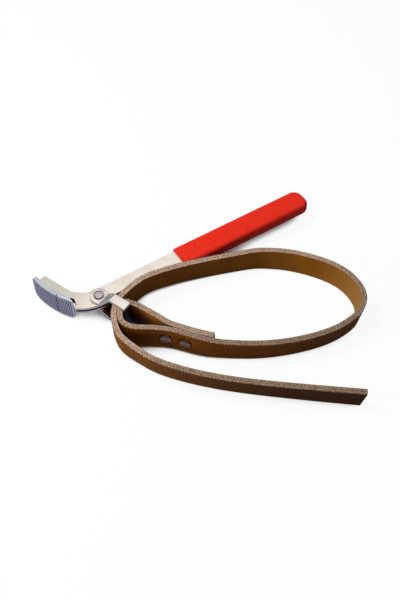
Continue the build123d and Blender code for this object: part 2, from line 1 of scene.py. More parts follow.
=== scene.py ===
import bmesh
import bpy
import json
import math
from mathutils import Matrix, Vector


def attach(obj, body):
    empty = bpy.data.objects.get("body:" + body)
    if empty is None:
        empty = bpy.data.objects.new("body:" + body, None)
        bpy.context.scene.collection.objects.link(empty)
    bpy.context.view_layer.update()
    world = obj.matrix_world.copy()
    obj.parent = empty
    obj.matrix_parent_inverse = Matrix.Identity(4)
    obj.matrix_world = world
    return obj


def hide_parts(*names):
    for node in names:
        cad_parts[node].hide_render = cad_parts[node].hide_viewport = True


# Sizes and places are in millimetres and angles in degrees, and MM turns millimetres into the
# frame's metres. Only the floor, the lamps and the camera are placed in metres.
MM = 0.001
BELT_WIDTH = 25.4
BELT_THICK = 5.3

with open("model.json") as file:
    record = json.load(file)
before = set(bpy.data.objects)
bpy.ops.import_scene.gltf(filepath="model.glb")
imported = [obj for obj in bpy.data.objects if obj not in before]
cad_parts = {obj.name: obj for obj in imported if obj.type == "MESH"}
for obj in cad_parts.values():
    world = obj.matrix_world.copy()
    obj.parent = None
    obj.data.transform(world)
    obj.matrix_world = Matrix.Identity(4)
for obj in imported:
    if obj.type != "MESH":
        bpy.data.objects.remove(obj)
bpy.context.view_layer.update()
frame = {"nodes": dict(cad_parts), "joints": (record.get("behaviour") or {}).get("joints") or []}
nodes = frame["nodes"]
joints = {joint["name"]: joint for joint in frame["joints"]}
pivot = Vector(joints["shackle_pivot"]["pos_m"])
bar = Vector(joints["strap_swivel"]["pos_m"])
mid_level = round(bar.z / MM, 3)    # the shackle's middle above the table


# ---- Small helpers -----------------------------------------------------------------------------

def colour(code):
    """Linear colour of an sRGB hex value."""
    parts = [int(code[start:start + 2], 16) / 255 for start in (1, 3, 5)]
    linear = [part / 12.92 if part <= 0.04045 else ((part + 0.055) / 1.055) ** 2.4
              for part in parts]
    return (*linear, 1.0)


def add_node(tree, kind, inputs=None, **settings):
    """A node with its settings, values and links.

    A node that is given as a value stands for its first output in use.
    """
    made = tree.nodes.new(kind)
    for name, value in settings.items():
        setattr(made, name, value)
    for name, value in (inputs or {}).items():
        if isinstance(value, bpy.types.Node):
            value = next(socket for socket in value.outputs if socket.enabled)
        if isinstance(value, bpy.types.NodeSocket):
            tree.links.new(value, made.inputs[name])
        else:
            made.inputs[name].default_value = value
    return made


def new_material(name):
    """An empty node material and its tree."""
    made = bpy.data.materials.new(name)
    made.use_nodes = True
    made.node_tree.nodes.clear()
    return made, made.node_tree


def add_object(name, data):
    """A new object in the scene."""
    made = bpy.data.objects.new(name, data)
    bpy.context.scene.collection.objects.link(made)
    return made


def final_mesh(made):
    """The plain mesh that an object's modifiers leave."""
    bpy.context.view_layer.update()
    finished = made.evaluated_get(bpy.context.evaluated_depsgraph_get())
    return bpy.data.meshes.new_from_object(finished)


def wear(node_name, material):
    """Gives a CAD node its material."""
    mesh = nodes[node_name].data
    mesh.materials.clear()
    mesh.materials.append(material)


# ---- Nickel-plated steel -----------------------------------------------------------------------

# Rolling marks are about 0.05 mm apart. They are drawn coarser, so that they show.
MARK_SIZE = (16.67, 0.625, 2.5)     # along X, Y and Z
MARK_TURN = -33           # turns the noise once it is stretched, so the marks still run along X
CLOUD_SIZE = 18.18        # patches of duller plating
# The tint at the jaw's end is a painted reflection, not a colour of the plating.
HEAD_REFLECTION_TINT = "#e8eeee"
HEAD_STARTS, HEAD_ENDS = 10, 28     # how far left of the pivot that tint sets in and is full
CORNER_SHADE_REACH = 1.2        # how far painted shade comes out of a corner
SHADE_EDGE = 0.4          # half of the height in which painted shade sets in
NOWHERE = 1000            # a height above the whole tool


def bare_nickel(tree, place, tint, dark_tint):
    """Colour of the bare plating, with duller patches. The jaw's end of the handle is tinted
    cooler and greyer: painted reflection, for the dimmer surroundings that end mirrors.
    """
    clouds = add_node(tree, "ShaderNodeTexNoise", {
        "Vector": place, "Scale": 1 / (CLOUD_SIZE * MM), "Detail": 4.0})
    duller = add_node(tree, "ShaderNodeMapRange", {
        "Value": clouds, "From Min": 0.35, "From Max": 0.7})
    tone = add_node(tree, "ShaderNodeMix", {
        "Factor": duller, "A": colour(tint), "B": colour(dark_tint)}, data_type="RGBA")
    axes = add_node(tree, "ShaderNodeSeparateXYZ", {0: place}).outputs
    at_head = add_node(tree, "ShaderNodeMapRange", {
        "Value": axes["X"], "From Min": pivot.x - HEAD_STARTS * MM,
        "From Max": pivot.x - HEAD_ENDS * MM})
    head_reflection = add_node(tree, "ShaderNodeMix", {
        "Factor": at_head, "A": colour("#ffffff"), "B": colour(HEAD_REFLECTION_TINT)}, data_type="RGBA")
    return add_node(tree, "ShaderNodeMix", {"Factor": 1.0, "A": tone, "B": head_reflection},
                    data_type="RGBA", blend_type="MULTIPLY")


def share_unshaded(tree, coords, reach=14, shut_in=(0.2, 0.4), grimy_from=NOWHERE, oiled=0.0):
    """Share of the plating's own colour at each point, from 0 to 1; the rest is painted shade.

    Painted shade fills corners and places that are shut in within the reach: it is full where the
    open share is the first of shut_in and gone where it is the second. It also lies on all that is
    above the given height, and the outer face of the shackle's bar is darkened by the given share,
    a painted dark reflection.
    """
    # Corners are painted dark: painted shade.
    corner = add_node(tree, "ShaderNodeAmbientOcclusion", {"Distance": CORNER_SHADE_REACH * MM},
                      samples=12)
    corner_unshaded = add_node(tree, "ShaderNodeMapRange", {
        "Value": corner.outputs["AO"], "From Min": 0.4, "From Max": 0.8})
    # Places shut in within the reach are painted dark: painted shade.
    shelter = add_node(tree, "ShaderNodeAmbientOcclusion", {"Distance": reach * MM}, samples=12)
    open_air = add_node(tree, "ShaderNodeMapRange", {
        "Value": shelter.outputs["AO"], "From Min": shut_in[0], "From Max": shut_in[1]})
    # All above a given height is painted dark: painted shade, used on the belt's rivet heads.
    axes = add_node(tree, "ShaderNodeSeparateXYZ", {0: coords["Object"]}).outputs
    height_unshaded = add_node(tree, "ShaderNodeMapRange", {
        "Value": axes["Z"], "From Min": (grimy_from - SHADE_EDGE) * MM,
        "From Max": (grimy_from + SHADE_EDGE) * MM, "To Min": 1.0, "To Max": 0.35})
    # The outer face of the bar looks away from the pivot.
    outward = add_node(tree, "ShaderNodeVectorMath", {
        0: coords["Normal"], 1: (bar - pivot).normalized()}, operation="DOT_PRODUCT")
    # The bar's outer face is painted dark: a painted dark reflection of the shaded eye it faces.
    bar_unshaded = add_node(tree, "ShaderNodeMapRange", {
        "Value": outward, "From Min": 0.45, "From Max": 0.8, "To Min": 1.0, "To Max": 1.0 - oiled})
    unshaded = 1.0
    for part in (corner_unshaded, open_air, height_unshaded, bar_unshaded):
        unshaded = add_node(tree, "ShaderNodeMath", {0: unshaded, 1: part}, operation="MULTIPLY")
    return unshaded


def nickel_plate(name, tint, dark_tint, rough, shade_colour="#1c1714", **shaded_places):
    """Bright nickel over rolled strip steel: a warm white mirror made soft by fine rolling marks.

    It is darkened with painted shade in corners, in shut-in places and above a given height, and
    with a painted dark reflection on the outer face of the shackle's bar.
    """
    material, tree = new_material(name)
    coords = add_node(tree, "ShaderNodeTexCoord").outputs
    stretched = add_node(tree, "ShaderNodeMapping", {
        "Vector": coords["Object"], "Rotation": (0, 0, math.radians(MARK_TURN)),
        "Scale": [1 / (size * MM) for size in MARK_SIZE]})
    marks = add_node(tree, "ShaderNodeTexNoise", {"Vector": stretched, "Scale": 1.0, "Detail": 3.0})
    gloss = add_node(tree, "ShaderNodeMapRange", {
        "Value": marks, "From Min": 0.3, "From Max": 0.7, "To Min": rough - 0.06,
        "To Max": rough + 0.08})
    rolled = add_node(tree, "ShaderNodeBump", {
        "Height": marks, "Strength": 0.06, "Distance": 0.4 * MM})
    # Painted shade and, on the shackle's bar, a painted dark reflection darken the plating.
    skin = add_node(tree, "ShaderNodeMix", {
        "Factor": share_unshaded(tree, coords, **shaded_places), "A": colour(shade_colour),
        "B": bare_nickel(tree, coords["Object"], tint, dark_tint)}, data_type="RGBA")
    steel = add_node(tree, "ShaderNodeBsdfPrincipled", {
        "Base Color": skin, "Metallic": 1.0, "Roughness": gloss, "Normal": rolled})
    add_node(tree, "ShaderNodeOutputMaterial", {"Surface": steel})
    return material


# ---- Red vinyl ---------------------------------------------------------------------------------

WAVE_SIZE = 8.333         # slow waves in the dipped skin
GRAIN_SIZE = 0.7143       # and its fine grain


def dipped_vinyl():
    """Plastisol dipped over the shank: saturated red, soft gloss, slightly uneven skin."""
    material, tree = new_material("dipped_red_vinyl")
    place = add_node(tree, "ShaderNodeTexCoord").outputs["Object"]
    waves, grain = [
        add_node(tree, "ShaderNodeTexNoise", {
            "Vector": place, "Scale": 1 / (size * MM), "Detail": 2.0})
        for size in (WAVE_SIZE, GRAIN_SIZE)]
    tone = add_node(tree, "ShaderNodeMix", {
        "Factor": waves, "A": colour("#dc2a18"), "B": colour("#ea3324")}, data_type="RGBA")
    relief = add_node(tree, "ShaderNodeMath", {0: grain, 1: 0.2, 2: waves},
                      operation="MULTIPLY_ADD")
    uneven = add_node(tree, "ShaderNodeBump", {
        "Height": relief, "Strength": 0.12, "Distance": 0.5 * MM})
    vinyl = add_node(tree, "ShaderNodeBsdfPrincipled", {
        "Base Color": tone, "Roughness": 0.5, "IOR": 1.5, "Specular IOR Level": 0.1,
        "Normal": uneven})
    add_node(tree, "ShaderNodeOutputMaterial", {"Surface": vinyl})
    return material


# ---- Canvas belting ----------------------------------------------------------------------------

# Colours, from dark to light where there are two.
PLAIN_EDGE = ("#665242", "#ac927b")
# The second, lighter edge colour is painted light.
LIT_EDGE = ("#806858", "#d2b39c")
YARN_END = "#42322a"
INNER_FACE = ("#855010", "#a0661f")
OUTER_FACE = ("#643906", "#7e4b0e")
SHEEN_TAN = "#98703f"
BELT_SHADE = "#240c06"

EDGE_SKIN = 0.1           # what counts as the cut edge, at each side of the belt's width
ROW_STEP = 2.4            # from row to row of yarn ends
SPOT_STEP = 3.0           # from one yarn end to the next along a row
SPOT_LONG, SPOT_WIDE = 1.0, 0.55    # half of a yarn end's length and width
FIBRE_SIZE = 1.3333       # tufts of fibre on the cut edge
WANDER_SIZE = 6.25        # waves in which the yarn ends leave their place
STAIN_SIZE = 22.22        # slow stains on the faces
THREAD_STEP = 1.2         # from thread to thread of the canvas
BELT_SHADE_REACH = 25            # a place shut in within this is painted dark

# Distances along the belt from its short end. The eye turns at about 70 to 135, the far bend lies
# at 300 to 440 and the shackle at 620 to 670, and the free end is at 903. Each of these five says
# where a change sets in, where it is full, and its strength there.
BACK_BEGINS, BACK_ENDS, EYE = (300, 440, 1.0), (740, 690, 1.0), (200, 130, 0.6)
SHEEN_UP_TO, SHEEN_FROM = (425, 370, 0.6), (300, 350, 1.0)
# Each of these says where the outer face's painted light and shade begins and ends to change,
# from what and to what.
OUTER_LIGHT_AND_SHADE = ((260, 310, 1.2, 0.76), (600, 610, 1.0, 1.32), (715, 760, 1.3, 1.0),
               (755, 840, 1.0, 0.45))


def yarn_ends(tree, along, depth, spot):
    """How much of a dark yarn end shows at each point of the cut edge.

    They lie in three rows, each row half a step from the next, and wander a little. The row at
    the outer face belongs to the rubber cover and is the darkest.
    """
    row = add_node(tree, "ShaderNodeMath", {0: depth, 1: 1 / (ROW_STEP * MM)}, operation="MULTIPLY")
    row_at = add_node(tree, "ShaderNodeMath", {0: row}, operation="ROUND")
    row_off = add_node(tree, "ShaderNodeMath", {0: row, 1: row_at}, operation="SUBTRACT")
    outer_row = add_node(tree, "ShaderNodeMath", {0: row_at}, operation="ABSOLUTE")
    wander = add_node(tree, "ShaderNodeTexNoise", {
        "Vector": spot, "Scale": 1 / (WANDER_SIZE * MM), "Detail": 1.0})
    shift = add_node(tree, "ShaderNodeMath", {0: outer_row, 1: 0.5, 2: wander},
                     operation="MULTIPLY_ADD")
    step = add_node(tree, "ShaderNodeMath", {0: along, 1: 1 / (SPOT_STEP * MM), 2: shift},
                    operation="MULTIPLY_ADD")
    step_cell = add_node(tree, "ShaderNodeMath", {0: step}, operation="FRACT")
    step_off = add_node(tree, "ShaderNodeMath", {0: step_cell, 1: 0.5}, operation="SUBTRACT")
    step_sq = add_node(tree, "ShaderNodeMath", {0: step_off, 1: step_off}, operation="MULTIPLY")
    row_sq = add_node(tree, "ShaderNodeMath", {0: row_off, 1: row_off}, operation="MULTIPLY")
    row_part = add_node(tree, "ShaderNodeMath", {0: row_sq, 1: (ROW_STEP / SPOT_WIDE) ** 2},
                        operation="MULTIPLY")
    far = add_node(tree, "ShaderNodeMath", {
        0: step_sq, 1: (SPOT_STEP / SPOT_LONG) ** 2, 2: row_part}, operation="MULTIPLY_ADD")
    yarn = add_node(tree, "ShaderNodeMapRange", {
        "Value": far, "From Min": 0.4, "From Max": 1.4, "To Min": 1.0, "To Max": 0.0})
    darkness = add_node(tree, "ShaderNodeMapRange", {
        "Value": row_at, "From Min": -1.0, "To Min": 0.2, "To Max": 0.8})
    return add_node(tree, "ShaderNodeMath", {0: yarn, 1: darkness}, operation="MULTIPLY")


def cut_edge(tree, along, yarn, fibres):
    """Colour of the cut edge: tan fibres with the dark yarn ends between them."""
    strand = add_node(tree, "ShaderNodeMapRange", {
        "Value": fibres, "From Min": 0.32, "From Max": 0.68})
    plain_tan, lit_tan = [
        add_node(tree, "ShaderNodeMix", {"Factor": strand, "A": colour(dark), "B": colour(light)},
                 data_type="RGBA")
        for dark, light in (PLAIN_EDGE, LIT_EDGE)]
    # The back strand, beside the handle, is painted lighter on its edges: painted light, where
    # more light falls on them. Those of the folded end and the eye are painted a little more than
    # halfway lighter.
    begins, ends, at_eye = [
        add_node(tree, "ShaderNodeMapRange", {
            "Value": along, "From Min": start * MM, "From Max": full * MM, "To Max": strength})
        for start, full, strength in (BACK_BEGINS, BACK_ENDS, EYE)]
    lit_share = add_node(tree, "ShaderNodeMath", {0: begins, 1: ends, 2: at_eye},
                       operation="MULTIPLY_ADD")
    tan = add_node(tree, "ShaderNodeMix", {"Factor": lit_share, "A": plain_tan, "B": lit_tan},
                   data_type="RGBA")
    return add_node(tree, "ShaderNodeMix", {"Factor": yarn, "A": tan, "B": colour(YARN_END)},
                    data_type="RGBA")


def belt_faces(tree, along, depth, stains):
    """Colour of the faces: brown rubber with slow stains, darker on the outer face's cover."""
    inner, outer = [
        add_node(tree, "ShaderNodeMix", {"Factor": stains, "A": colour(dark), "B": colour(light)},
                 data_type="RGBA")
        for dark, light in (INNER_FACE, OUTER_FACE)]
    # Round the far bend the inner face is painted a paler, greyer tan: painted sheen.
    up_to, past = [
        add_node(tree, "ShaderNodeMapRange", {
            "Value": along, "From Min": start * MM, "From Max": full * MM, "To Max": strength})
        for start, full, strength in (SHEEN_UP_TO, SHEEN_FROM)]
    sheen_share = add_node(tree, "ShaderNodeMath", {0: up_to, 1: past}, operation="MULTIPLY")
    inner = add_node(tree, "ShaderNodeMix", {"Factor": sheen_share, "A": inner, "B": colour(SHEEN_TAN)},
                     data_type="RGBA")
    # The outer face is painted lighter from the eye until near the far bend and again from the
    # shackle to the tail, where light from the left falls on it, and darker towards the free end:
    # painted light and shade.
    use = 1.0
    for start, full, before, after in OUTER_LIGHT_AND_SHADE:
        stretch = add_node(tree, "ShaderNodeMapRange", {
            "Value": along, "From Min": start * MM, "From Max": full * MM,
            "To Min": before, "To Max": after})
        use = add_node(tree, "ShaderNodeMath", {0: use, 1: stretch}, operation="MULTIPLY")
    outer_in_light = add_node(tree, "ShaderNodeVectorMath", {0: outer, "Scale": use}, operation="SCALE")
    is_outer = add_node(tree, "ShaderNodeMath", {0: depth, 1: 0.0}, operation="GREATER_THAN")
    dry = add_node(tree, "ShaderNodeMix", {"Factor": is_outer, "A": inner, "B": outer_in_light},
                   data_type="RGBA")
    # Where the belt is shut in, as inside the eye, it is painted nearly black: painted shade. The
    # outer face takes half as much.
    shelter = add_node(tree, "ShaderNodeAmbientOcclusion", {"Distance": BELT_SHADE_REACH * MM}, samples=12)
    shut_in_shade = add_node(tree, "ShaderNodeMapRange", {
        "Value": shelter.outputs["AO"], "From Min": 0.45, "From Max": 0.12, "To Max": 0.85})
    taken = add_node(tree, "ShaderNodeMath", {0: is_outer, 1: -0.5, 2: 1.0},
                     operation="MULTIPLY_ADD")
    soaked = add_node(tree, "ShaderNodeMath", {0: shut_in_shade, 1: taken}, operation="MULTIPLY")
    return add_node(tree, "ShaderNodeMix", {"Factor": soaked, "A": dry, "B": colour(BELT_SHADE)},
                    data_type="RGBA")


def canvas_weave(tree, along, height):
    """Relief of the canvas, whose threads show faintly through the rubber of the faces."""
    warp, weft = [
        add_node(tree, "ShaderNodeMath", {0: run, 1: 2 * math.pi / (THREAD_STEP * MM)},
                 operation="MULTIPLY")
        for run in (along, height)]
    warp_wave, weft_wave = [
        add_node(tree, "ShaderNodeMath", {0: turn}, operation="SINE") for turn in (warp, weft)]
    return add_node(tree, "ShaderNodeMath", {0: warp_wave, 1: weft_wave}, operation="MULTIPLY")


def canvas_belting():
    """Multi-ply woven belting soaked in rubber: matt brown faces, tan cut edges with yarn ends.

    It is painted by each vertex's place in the belt: how far along it lies, and its depth from
    the inner to the outer face and its height across the width, both from the belt's middle.
    """
    material, tree = new_material("brown_canvas_belting")
    along = add_node(tree, "ShaderNodeAttribute", attribute_name="belt_along").outputs["Fac"]
    section = add_node(tree, "ShaderNodeAttribute", attribute_name="belt_section").outputs["Vector"]
    axes = add_node(tree, "ShaderNodeSeparateXYZ", {0: section}).outputs
    depth, height = axes["X"], axes["Y"]
    spot = add_node(tree, "ShaderNodeCombineXYZ", {0: along, 1: depth, 2: height})
    off_middle = add_node(tree, "ShaderNodeMath", {0: height}, operation="ABSOLUTE")
    on_edge = add_node(tree, "ShaderNodeMath", {
        0: off_middle, 1: (BELT_WIDTH / 2 - EDGE_SKIN) * MM}, operation="GREATER_THAN")
    fibres = add_node(tree, "ShaderNodeTexNoise", {
        "Vector": spot, "Scale": 1 / (FIBRE_SIZE * MM), "Detail": 3.0, "Roughness": 0.65})
    stains = add_node(tree, "ShaderNodeTexNoise", {
        "Vector": spot, "Scale": 1 / (STAIN_SIZE * MM), "Detail": 5.0})
    yarn = yarn_ends(tree, along, depth, spot)
    weave = canvas_weave(tree, along, height)

    tone = add_node(tree, "ShaderNodeMix", {
        "Factor": on_edge, "A": belt_faces(tree, along, depth, stains),
        "B": cut_edge(tree, along, yarn, fibres)}, data_type="RGBA")
    edge_relief = add_node(tree, "ShaderNodeMath", {0: yarn, 1: -1.0, 2: fibres},
                           operation="MULTIPLY_ADD")
    face_relief = add_node(tree, "ShaderNodeMath", {0: weave, 1: 0.15, 2: stains},
                           operation="MULTIPLY_ADD")
    relief = add_node(tree, "ShaderNodeMix", {
        "Factor": on_edge, "A": face_relief, "B": edge_relief}, data_type="FLOAT")
    rough_skin = add_node(tree, "ShaderNodeBump", {
        "Height": relief, "Strength": 0.5, "Distance": 0.6 * MM})
    gloss = add_node(tree, "ShaderNodeMapRange", {"Value": on_edge, "To Min": 0.62, "To Max": 0.95})
    belting = add_node(tree, "ShaderNodeBsdfPrincipled", {
        "Base Color": tone, "Roughness": gloss, "IOR": 1.5, "Specular IOR Level": 0.08,
        "Normal": rough_skin})
    add_node(tree, "ShaderNodeOutputMaterial", {"Surface": belting})
    return material


# ---- Which piece wears what --------------------------------------------------------------------

# Each plating is painted darker in its corners and shut-in places: painted shade, as round the
# shackle's boss and the pivot rivet's head and in the jaw's grooves. The shackle's dark brown also
# darkens its bar's outer face: a painted dark reflection.
shank_plate = nickel_plate("nickel_plated_strip", "#f8eee4", "#ecdfd2", 0.34)
shackle_plate = nickel_plate("nickel_plated_shackle", "#f6f0e8", "#eae2d8", 0.34, "#24120a",
                             reach=32, shut_in=(0.22, 0.42), oiled=0.9)
jaw_plate = nickel_plate("nickel_plated_jaw", "#f4f4fc", "#e8e8f2", 0.42, "#62646e")
pivot_steel = nickel_plate("bright_rivet_steel", "#d2ccca", "#b4aeac", 0.36)
# No place on these rivets counts as shut in. The upper half of the belt's rivet heads is
# painted dark: painted shade under the dented belt's rim.
rivet_steel = nickel_plate("dull_rivet_steel", "#c0a488", "#9c8068", 0.36, shut_in=(-1, 0),
                           grimy_from=mid_level)
red_vinyl = dipped_vinyl()
belting = canvas_belting()

for name in ("upper_plate", "lower_plate", "handle_filler"):
    wear(name, shank_plate)
for name in ("pivot_rivet", "pivot_bush"):
    wear(name, pivot_steel)
for name in ("filler_rivets", "strap_rivets", "strap_burrs"):
    wear(name, rivet_steel)
wear("grip", red_vinyl)


# ---- Softened steel edges ----------------------------------------------------------------------

WELD = 0.001              # vertices nearer than this are one
SAME_FACE = 0.5           # triangles that meet at less than this belong to one flat face
ROUNDED_FROM = 35         # edges that turn by more than this are rounded
CREASED_FROM = 50         # edges that turn by more than this stay sharp in the shading


def softened(node_name, material, body, radius):
    """A copy of a CAD node whose sharp edges are rounded as tumbling before plating leaves them."""
    shape = bmesh.new()
    shape.from_mesh(nodes[node_name].data)
    bmesh.ops.remove_doubles(shape, verts=shape.verts, dist=WELD * MM)
    bmesh.ops.dissolve_limit(shape, angle_limit=math.radians(SAME_FACE), verts=shape.verts,
                             edges=shape.edges)
    mesh = bpy.data.meshes.new(node_name + "_rounded")
    shape.to_mesh(mesh)
    shape.free()
    made = add_object(node_name + "_rounded", mesh)
    bevel = made.modifiers.new("rounding", "BEVEL")
    bevel.width = radius * MM
    bevel.segments = 2
    bevel.limit_method = "ANGLE"
    bevel.angle_limit = math.radians(ROUNDED_FROM)
    final = final_mesh(made)
    made.modifiers.clear()
    made.data = final
    final.shade_smooth()
    final.set_sharp_from_angle(angle=math.radians(CREASED_FROM))
    final.materials.clear()
    final.materials.append(material)
    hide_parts(node_name)
    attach(made, body)


softened("shackle", shackle_plate, "shackle", 0.4)
softened("jaw_shoe", jaw_plate, "handle", 0.18)


# ---- Belt: its route ---------------------------------------------------------------------------

PLY_STEP = 5.45           # from ply to ply where two lie side by side
BAR_TO_EYE = -6.6         # bar centre to the eye's left leg, along X
STRAND_X = BAR_TO_EYE - PLY_STEP    # the strand through the slot, on the left of that leg
FOLD_HEADING = -18        # of the run where the belt is doubled
FOLD_LEAD = 2             # the folded ply's first bend past the main run's
FOLD_SETBACK = 5.3        # the short end before the last corner of the doubled run
ROOT_RUN = 11.6           # from the folded ply's first bend to the knots before and after it
SAG_START, SAG_END = 45, 75         # between these the belt sinks from the shackle to the table
SAG_HEADING = Vector((1, 1)).normalized()    # direction in plan along which that is measured

# Corners of the belt's route: plan point counted from the bar or the pivot, how far the belt's
# upper edge leans out of the loop there, and how far the belt is lifted.
along_fold = Vector((math.cos(math.radians(FOLD_HEADING)), math.sin(math.radians(FOLD_HEADING))))
over_fold = Vector((-along_fold.y, along_fold.x)) * PLY_STEP
doubled = [Vector(point) for point in ((35.2, -21.1), (62.6, -31.2), (82.9, -36.6))]
fold_root = doubled[0] + over_fold + along_fold * FOLD_LEAD
fold_mid = doubled[1] + over_fold
eye_exit = Vector((12.2, 4.2))
eye_from_bar = [
    (doubled[2] + over_fold - along_fold * FOLD_SETBACK, -4, 0.8), (fold_mid, -2, 0.4),
    (fold_root + (fold_mid - fold_root).normalized() * ROOT_RUN, 0, 0.3),
    (fold_root, 0, 0),
    (fold_root + (eye_exit - fold_root).normalized() * ROOT_RUN, 0, 0),
    (eye_exit, 0, -2.4), ((6.5, 6.3), 0, -1.1), ((BAR_TO_EYE, 11.0), 0, 0.1),
    ((BAR_TO_EYE, -21.1), 0, 0), (doubled[0], 0, 0), (doubled[1], 1, 0), (doubled[2], 6.5, 0),
]
loop_from_pivot = [
    ((158.9, -56.0), 9, 0), ((207.5, -43.8), 10, 0), ((236.8, -24.8), 9, 0), ((246.2, -7.2), 7, 0),
    ((244.8, 8.3), 6, 0), ((234.2, 26.6), 4, 0), ((214.8, 40.3), 3, 0), ((183.7, 51.6), 2, 0),
    ((154.7, 54.1), 0, 0.2), ((138.7, 51.3), -3, 0.5), ((85.2, 36.8), -5, 2.4),
    ((47.3, 20.0), -5, 2.7), ((33.2, 9.3), -2, 1.5),
]
slot_from_bar = [
    ((STRAND_X + 1.7, 11.0), 0, 0), ((STRAND_X, -1.1), 0, 0), ((STRAND_X, -9.6), 2, 0),
    ((-5.9, -28.4), 5, 0), ((8.6, -41.0), 9, 0), ((31.5, -57.0), 11.5, 0),
]
tail_from_pivot = [((107.8, -92.0), 13, 0), ((169.2, -100.5), 12, 0), ((237.5, -105.5), 9.5, 0)]

route = [
    (centre.xy + Vector(point) * MM, lean, lift)
    for centre, corners in ((bar, eye_from_bar), (pivot, loop_from_pivot), (bar, slot_from_bar),
                            (pivot, tail_from_pivot))
    for point, lean, lift in corners]


def belt_height(spot):
    """Height of the belt's middle: in the shackle on the left, on the table on the right."""
    reach = (spot - pivot.xy).dot(SAG_HEADING) / MM
    down = min(max((reach - SAG_START) / (SAG_END - SAG_START), 0), 1)
    return mid_level - (mid_level - BELT_WIDTH / 2) * down


def belt_line():
    """The belt's middle line, tilted at each knot as the belt leans there."""
    line = bpy.data.curves.new("belt_line", "CURVE")
    line.dimensions = "3D"
    line.twist_mode = "Z_UP"
    line.resolution_u = 24
    spline = line.splines.new("NURBS")
    spline.points.add(len(route) - 1)
    for knot, (spot, lean, lift) in zip(spline.points, route):
        turn = math.radians(lean)
        # A leaning belt stands on one corner of its section, which raises its middle.
        clear = max(0, math.sin(abs(turn)) * BELT_THICK / 2 - (1 - math.cos(turn)) * BELT_WIDTH / 2)
        knot.co = (spot.x, spot.y, (belt_height(spot) + lift + clear) * MM, 1)
        knot.tilt = turn
    spline.order_u = 3
    spline.use_endpoint_u = True
    return line


# ---- Belt: its shape ---------------------------------------------------------------------------

SECTION_STEP = 1.0        # from section to section along the belt
EDGE_CUTS, FACE_CUTS = 5, 24        # points added on the short and the long sides of a section

# Distances from a rivet's axis, each with the depth by which the belt gives way there.
DENT = ((0, 1.35), (5.2, 1.35), (6.0, 0.45), (9.5, 0))
DENT_SKIN = 0.45          # only what lies this far out gives way, as a share of the thickness
HEAD_REACH = 4            # and no farther from the rivet's middle than this, along its axis

CUT_SLANT = 1.7           # the free end's upper edge is this much shorter than its lower one
CUT_BACK = 0.4            # and the whole end is this much shorter than its line
CUT_REACH = 12            # the shortening is spread over this last stretch
BELT_CREASED_FROM = 35    # its edges that turn by more than this stay sharp in the shading


def belt_from_line():
    """Node tree that draws the belt's section along its line. Each vertex keeps its place."""
    tree = bpy.data.node_groups.new("belt_from_line", "GeometryNodeTree")
    tree.interface.new_socket("Geometry", in_out="INPUT", socket_type="NodeSocketGeometry")
    for label, size in (("Thickness", BELT_THICK), ("Width", BELT_WIDTH), ("Step", SECTION_STEP)):
        made = tree.interface.new_socket(label, in_out="INPUT", socket_type="NodeSocketFloat")
        made.default_value = size * MM
    tree.interface.new_socket("Finish", in_out="INPUT", socket_type="NodeSocketMaterial")
    tree.interface.new_socket("Geometry", in_out="OUTPUT", socket_type="NodeSocketGeometry")
    given = add_node(tree, "NodeGroupInput").outputs

    sampled = add_node(tree, "GeometryNodeResampleCurve", {
        "Curve": given["Geometry"], "Length": given["Step"]}, mode="LENGTH")
    measured = add_node(tree, "GeometryNodeSplineParameter").outputs["Length"]
    marked = add_node(tree, "GeometryNodeStoreNamedAttribute", {
        "Geometry": sampled, "Name": "belt_along", "Value": measured}, data_type="FLOAT",
        domain="POINT")
    section = add_node(tree, "GeometryNodeCurvePrimitiveQuadrilateral", {
        "Width": given["Thickness"], "Height": given["Width"]}, mode="RECTANGLE")
    # The sides come in turn, short and long.
    index = add_node(tree, "GeometryNodeInputIndex")
    is_long = add_node(tree, "ShaderNodeMath", {0: index, 1: 2.0}, operation="MODULO")
    cuts = add_node(tree, "ShaderNodeMapRange", {
        "Value": is_long, "To Min": EDGE_CUTS, "To Max": FACE_CUTS})
    divided = add_node(tree, "GeometryNodeSubdivideCurve", {"Curve": section, "Cuts": cuts})
    where = add_node(tree, "GeometryNodeInputPosition")
    placed = add_node(tree, "GeometryNodeStoreNamedAttribute", {
        "Geometry": divided, "Name": "belt_section", "Value": where}, data_type="FLOAT_VECTOR",
        domain="POINT")
    swept = add_node(tree, "GeometryNodeCurveToMesh", {
        "Curve": marked, "Profile Curve": placed, "Fill Caps": True})
    real = add_node(tree, "GeometryNodeRealizeInstances", {"Geometry": swept})
    dressed = add_node(tree, "GeometryNodeSetMaterial", {
        "Geometry": real, "Material": given["Finish"]})
    add_node(tree, "NodeGroupOutput", {"Geometry": dressed})
    return tree


def dent_under_rivets(mesh, section):
    """Presses the belt's outer face in round each of its two rivet heads."""
    points = [vertex.co.copy() for vertex in nodes["strap_rivets"].data.vertices]
    middle = sum(point.x for point in points) / len(points)
    for rivet in ([p for p in points if p.x < middle], [p for p in points if p.x >= middle]):
        # A head's highest point lies on its rim, and the point farthest from it in plan lies on
        # the rivet's other end. The two give its level axis closely enough.
        rim = max(rivet, key=lambda p: p.z)
        tip = max(rivet, key=lambda p: (p.xy - rim.xy).length)
        axis = Vector((*(rim.xy - tip.xy).normalized(), 0))
        centre = Vector((*rim.xy, sum(p.z for p in rivet) / len(rivet)))
        for vertex, place in zip(mesh.vertices, section):
            away = vertex.co - centre
            off_axis = (away - axis * away.dot(axis)).length / MM
            if (place.x < DENT_SKIN * BELT_THICK * MM or off_axis > DENT[-1][0]
                    or abs(away.dot(axis)) > HEAD_REACH * MM):
                continue
            for (near, deep), (far, shallow) in zip(DENT, DENT[1:]):
                if near <= off_axis <= far:
                    share = (off_axis - near) / (far - near)
                    vertex.co -= axis * (deep + (shallow - deep) * share) * MM
                    break


